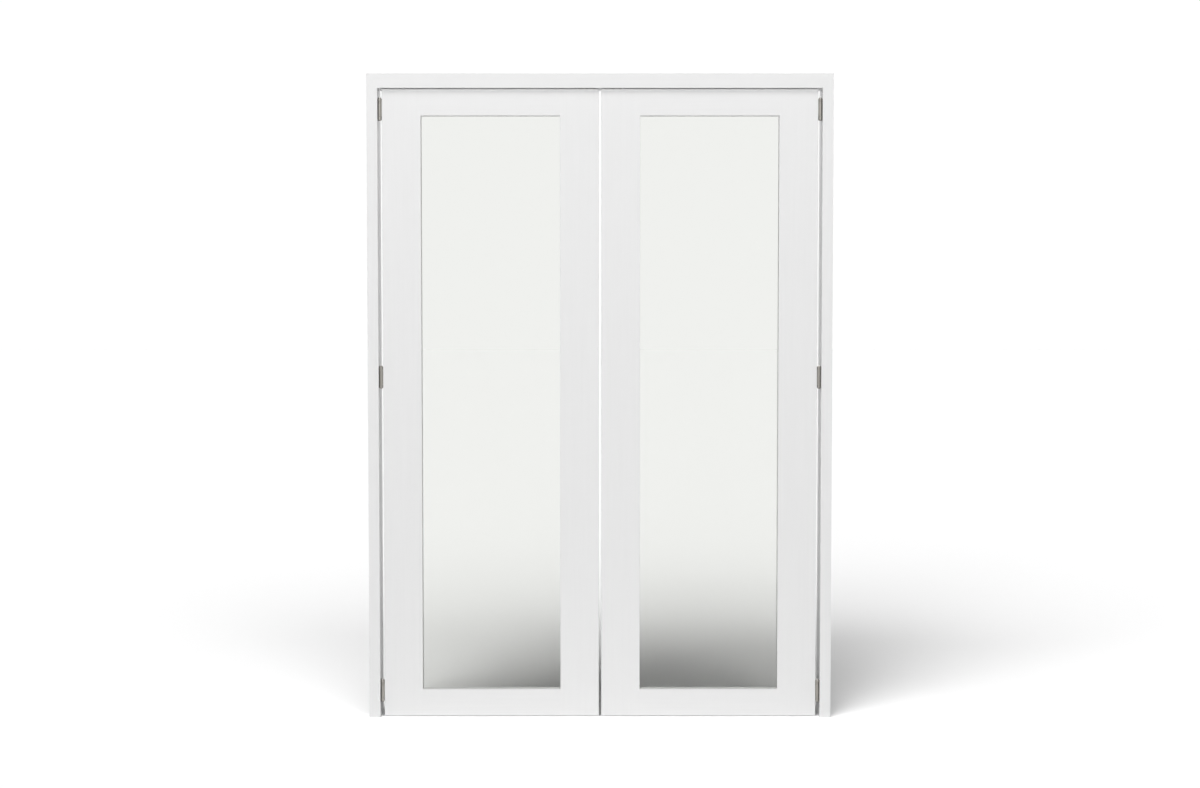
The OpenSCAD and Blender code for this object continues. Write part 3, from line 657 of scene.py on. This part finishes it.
# panel pin: a blunt point, a plain wire and a small cupped head, whose profile has pairs of a share
# of the head's radius and a share of its height down from the top
panelPinForm = {"around": 14, "headHeight": 0.8 * mm, "tip": 0.1, "pointLength": 2.0, "swell": 0.5,
                "headProfile": ((0.8, 1.0), (1.0, 0.8), (1.0, 0.15), (0.9, 0.0), (0.4, 0.25))}


def panelPinSkin(solid):
    length, headWidth, wireWidth = measure(solid)
    wire, headHeight = wireWidth / 2, panelPinForm["headHeight"]
    out, down = np.array(panelPinForm["headProfile"]).T
    rings = turned([panelPinForm["tip"] * wire, wire, wire, *(out * headWidth / 2)],
                   [-length, panelPinForm["pointLength"] * wire - length,
                    -headHeight - panelPinForm["swell"] * wire, *(-down * headHeight)],
                   panelPinForm["around"])
    return skinRings(setOnSolid(rings, solid))


for side in ("left", "right"):
    makePiece(side + "_fluted_dowels", [dowelSkin(solid) for solid in solidsOf(side + "_dowels")],
              beechMaterial, side + "_leaf", side + "_dowels", sharp=dowelForm["sharpAngle"])
    makePiece(side + "_panel_pins", [panelPinSkin(solid) for solid in solidsOf(side + "_bead_pins")],
              metalMaterials["zincPlatedSteel"], side + "_leaf", side + "_bead_pins")
print("dowels and pins made")


# ball catches: a sprung ball in a housing let into the top of each leaf, and a thin strike in the head;
# coilLift is how far a closed end coil climbs, in radii of the wire
catchForm = {"rounding": 0.3 * mm, "strikeRounding": 0.12 * mm, "ballRows": 33, "ballAround": 48,
             "wire": 1.2 * mm, "turns": 6, "closedTurns": 1.0, "coilLift": 2.1, "wireAround": 12,
             "stepsPerTurn": 28}


# sphere: radius times the sine and the cosine of the angle from the pole
def ballSkin(solid):
    low, high = solid.min(0), solid.max(0)
    radius = (high[2] - low[2]) / 2
    fromPole = np.linspace(0, np.pi, catchForm["ballRows"])[1:-1]
    rings = turned(radius * np.sin(fromPole), -radius * np.cos(fromPole), catchForm["ballAround"])
    points, faces = skinRings(rings + (low + high) / 2)
    points[-2:, 2] = low[2], high[2]
    return points, faces


# compression spring: the wire's round section carried along a helix whose end coils lie close
def springSkin(solid):
    low, high = solid.min(0), solid.max(0)
    wire, lift = catchForm["wire"] / 2, catchForm["coilLift"]
    radius = (high[0] - low[0]) / 2 - wire
    closed = catchForm["closedTurns"]
    turns = catchForm["turns"] + 2 * closed
    wound = turns * np.linspace(0, 1, int(turns * catchForm["stepsPerTurn"]) + 1)  # turns so far
    openShare = np.clip((wound - closed) / (turns - 2 * closed), 0, 1)
    closedShare = np.clip(wound / closed, 0, 1) + np.clip((wound - turns + closed) / closed, 0, 1)
    room = high[2] - low[2] - 2 * wire - 2 * lift * wire * closed
    height = low[2] + wire + lift * wire * closed * closedShare + room * openShare
    around = np.linspace(0, 2 * np.pi, catchForm["wireAround"], endpoint=False)[None, :]
    outwards = radius + wire * np.cos(around)
    centre = (low + high) / 2
    angle = 2 * np.pi * wound[:, None]
    rings = np.stack([centre[0] + outwards * np.cos(angle), centre[1] + outwards * np.sin(angle),
                      height[:, None] + wire * np.sin(around)], -1)
    return skinRings(rings)


for side in ("left", "right"):
    leaf, ball = side + "_leaf", side + "_ball"
    softenedCopy(side + "_catch_housing", metalMaterials["satinNickelBrass"], leaf,
                 catchForm["rounding"])
    softenedCopy(side + "_catch_strike", metalMaterials["satinNickelBrass"], bodyOf(side + "_catch_strike"),
                 catchForm["strikeRounding"])
    makePiece(side + "_polished_ball", [ballSkin(solid) for solid in solidsOf(side + "_catch_ball")],
              metalMaterials["polishedBallSteel"], ball, side + "_catch_ball")
    spring = makePiece(side + "_wound_spring",
                       [springSkin(solid) for solid in solidsOf(side + "_catch_spring")],
                       metalMaterials["springWire"], leaf, side + "_catch_spring")
    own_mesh(spring)
print("catches made")


# a wide matt white floor; the sky is white in a band round the horizon and dim above it, where it goes
# from skyTop in front to skyBack behind between -turnsAt and turnsAt of the view's depth
studio = {"floor": "#f4f4f4", "floorSize": 120.0, "horizon": 1.02, "skyTop": 0.05, "skyBack": 0.1,
          "bandTop": 0.2, "fadeTop": 0.5, "turnsAt": 0.5}

floorMesh = bpy.data.meshes.new("floor")
half = studio["floorSize"] / 2
floorMesh.from_pydata([(-half, -half, 0), (half, -half, 0), (half, half, 0), (-half, half, 0)], [],
                      [(0, 1, 2, 3)])
floor = bpy.data.objects.new("floor", floorMesh)
bpy.context.scene.collection.objects.link(floor)
floorMaterial, floorTree = startMaterial("mattWhiteFloor")
floorShader = addNode(floorTree, "ShaderNodeBsdfDiffuse",
                      {"Color": tone(studio["floor"]), "Roughness": 0.0})
endMaterial(floorTree, floorShader)
floorMesh.materials.append(floorMaterial)

world = bpy.data.worlds.new("softStudio")
world.use_nodes = True
bpy.context.scene.world = world
tree = world.node_tree
tree.nodes.clear()
direction = addNode(tree, "ShaderNodeTexCoord")
parts = addNode(tree, "ShaderNodeSeparateXYZ", links={0: (direction, "Generated")})
upwards = addNode(tree, "ShaderNodeMapRange",
                  {"From Min": studio["bandTop"], "From Max": studio["fadeTop"]}, {"Value": (parts, 2)})
upwards.interpolation_type = "SMOOTHSTEP"
backwards = addNode(tree, "ShaderNodeMapRange",
                    {"From Min": -studio["turnsAt"], "From Max": studio["turnsAt"],
                     "To Min": studio["skyTop"], "To Max": studio["skyBack"]}, {"Value": (parts, 1)})
sky = addNode(tree, "ShaderNodeMix", {"data_type": "FLOAT", 2: studio["horizon"]},
              {0: (upwards, 0), 3: (backwards, 0)})
background = addNode(tree, "ShaderNodeBackground", links={"Color": (sky, 0)})
addNode(tree, "ShaderNodeOutputWorld", links={"Surface": (background, 0)})
world.cycles_visibility.diffuse = False  # a backdrop to look at and to mirror, which lights nothing

# the floor and the doors are lit apart, as a studio lays two exposures together: wide suns fall on the
# floor only, where they draw the soft shadows, and soft boxes on the doors only
# suns: degrees round from straight ahead, to the right, degrees up, and strength in watts a square metre
floorSuns = {
    "overhead": {"round": 0, "up": 85, "strength": 0.06},
    "keyHigh": {"round": -35, "up": 55, "strength": 0.90},
    "key": {"round": -30, "up": 38, "strength": 1.95},
    "keyLow": {"round": -10, "up": 22, "strength": 1.12},
    "fill": {"round": 10, "up": 38, "strength": 1.19},
    "fillWide": {"round": 30, "up": 38, "strength": 0.64},
}
sunSpread = 34  # degrees across, as a large diffuser looks from the floor
sunPlace = (0, -5, 8)  # only where its mark hangs in the viewport, since a sun's light has no place

# soft boxes: where each hangs, its width and its power in watts; all face the middle of the doors
softBoxes = {
    "boxLeft": {"at": (-3.0, -6.5, 4.2), "size": 2.5, "power": 84},
    "boxRight": {"at": (2.4, -6.8, 4.2), "size": 2.5, "power": 43},
    "boxHigh": {"at": (0.0, -8.0, 14.0), "size": 7.0, "power": 1450},
    "boxBehind": {"at": (0.0, 7.0, 5.0), "size": 4.0, "power": 310},
}
softBoxAim = (0.0, 0.0, 1.0)

floorOnly = bpy.data.collections.new("floorOnly")
doorsOnly = bpy.data.collections.new("doorsOnly")
for group in (floorOnly, doorsOnly):
    group.objects.link(floor)
doorsOnly.collection_objects[0].light_linking.link_state = "EXCLUDE"


def hang(name, data, place, turn, group):
    lamp = bpy.data.objects.new(name, data)
    lamp.location = place
    lamp.rotation_euler = turn
    lamp.visible_camera = False
    lamp.visible_transmission = False  # nor seen through the glass
    lamp.light_linking.receiver_collection = group
    bpy.context.scene.collection.objects.link(lamp)


for name, sun in floorSuns.items():
    data = bpy.data.lights.new(name, "SUN")
    data.energy = sun["strength"]
    data.angle = math.radians(sunSpread)
    turn = (math.radians(90 - sun["up"]), 0, math.radians(sun["round"]))
    hang(name, data, sunPlace, turn, floorOnly)

for name, box in softBoxes.items():
    data = bpy.data.lights.new(name, "AREA")
    data.shape = "DISK"
    data.size = box["size"]
    data.energy = box["power"]
    aim = np.array(softBoxAim) - np.array(box["at"])
    turn = (math.atan2(math.hypot(aim[0], aim[1]), -aim[2]), 0, math.atan2(-aim[0], aim[1]))
    hang(name, data, box["at"], turn, doorsOnly)

bpy.context.scene.view_settings.view_transform = "Standard"
print("studio lit")
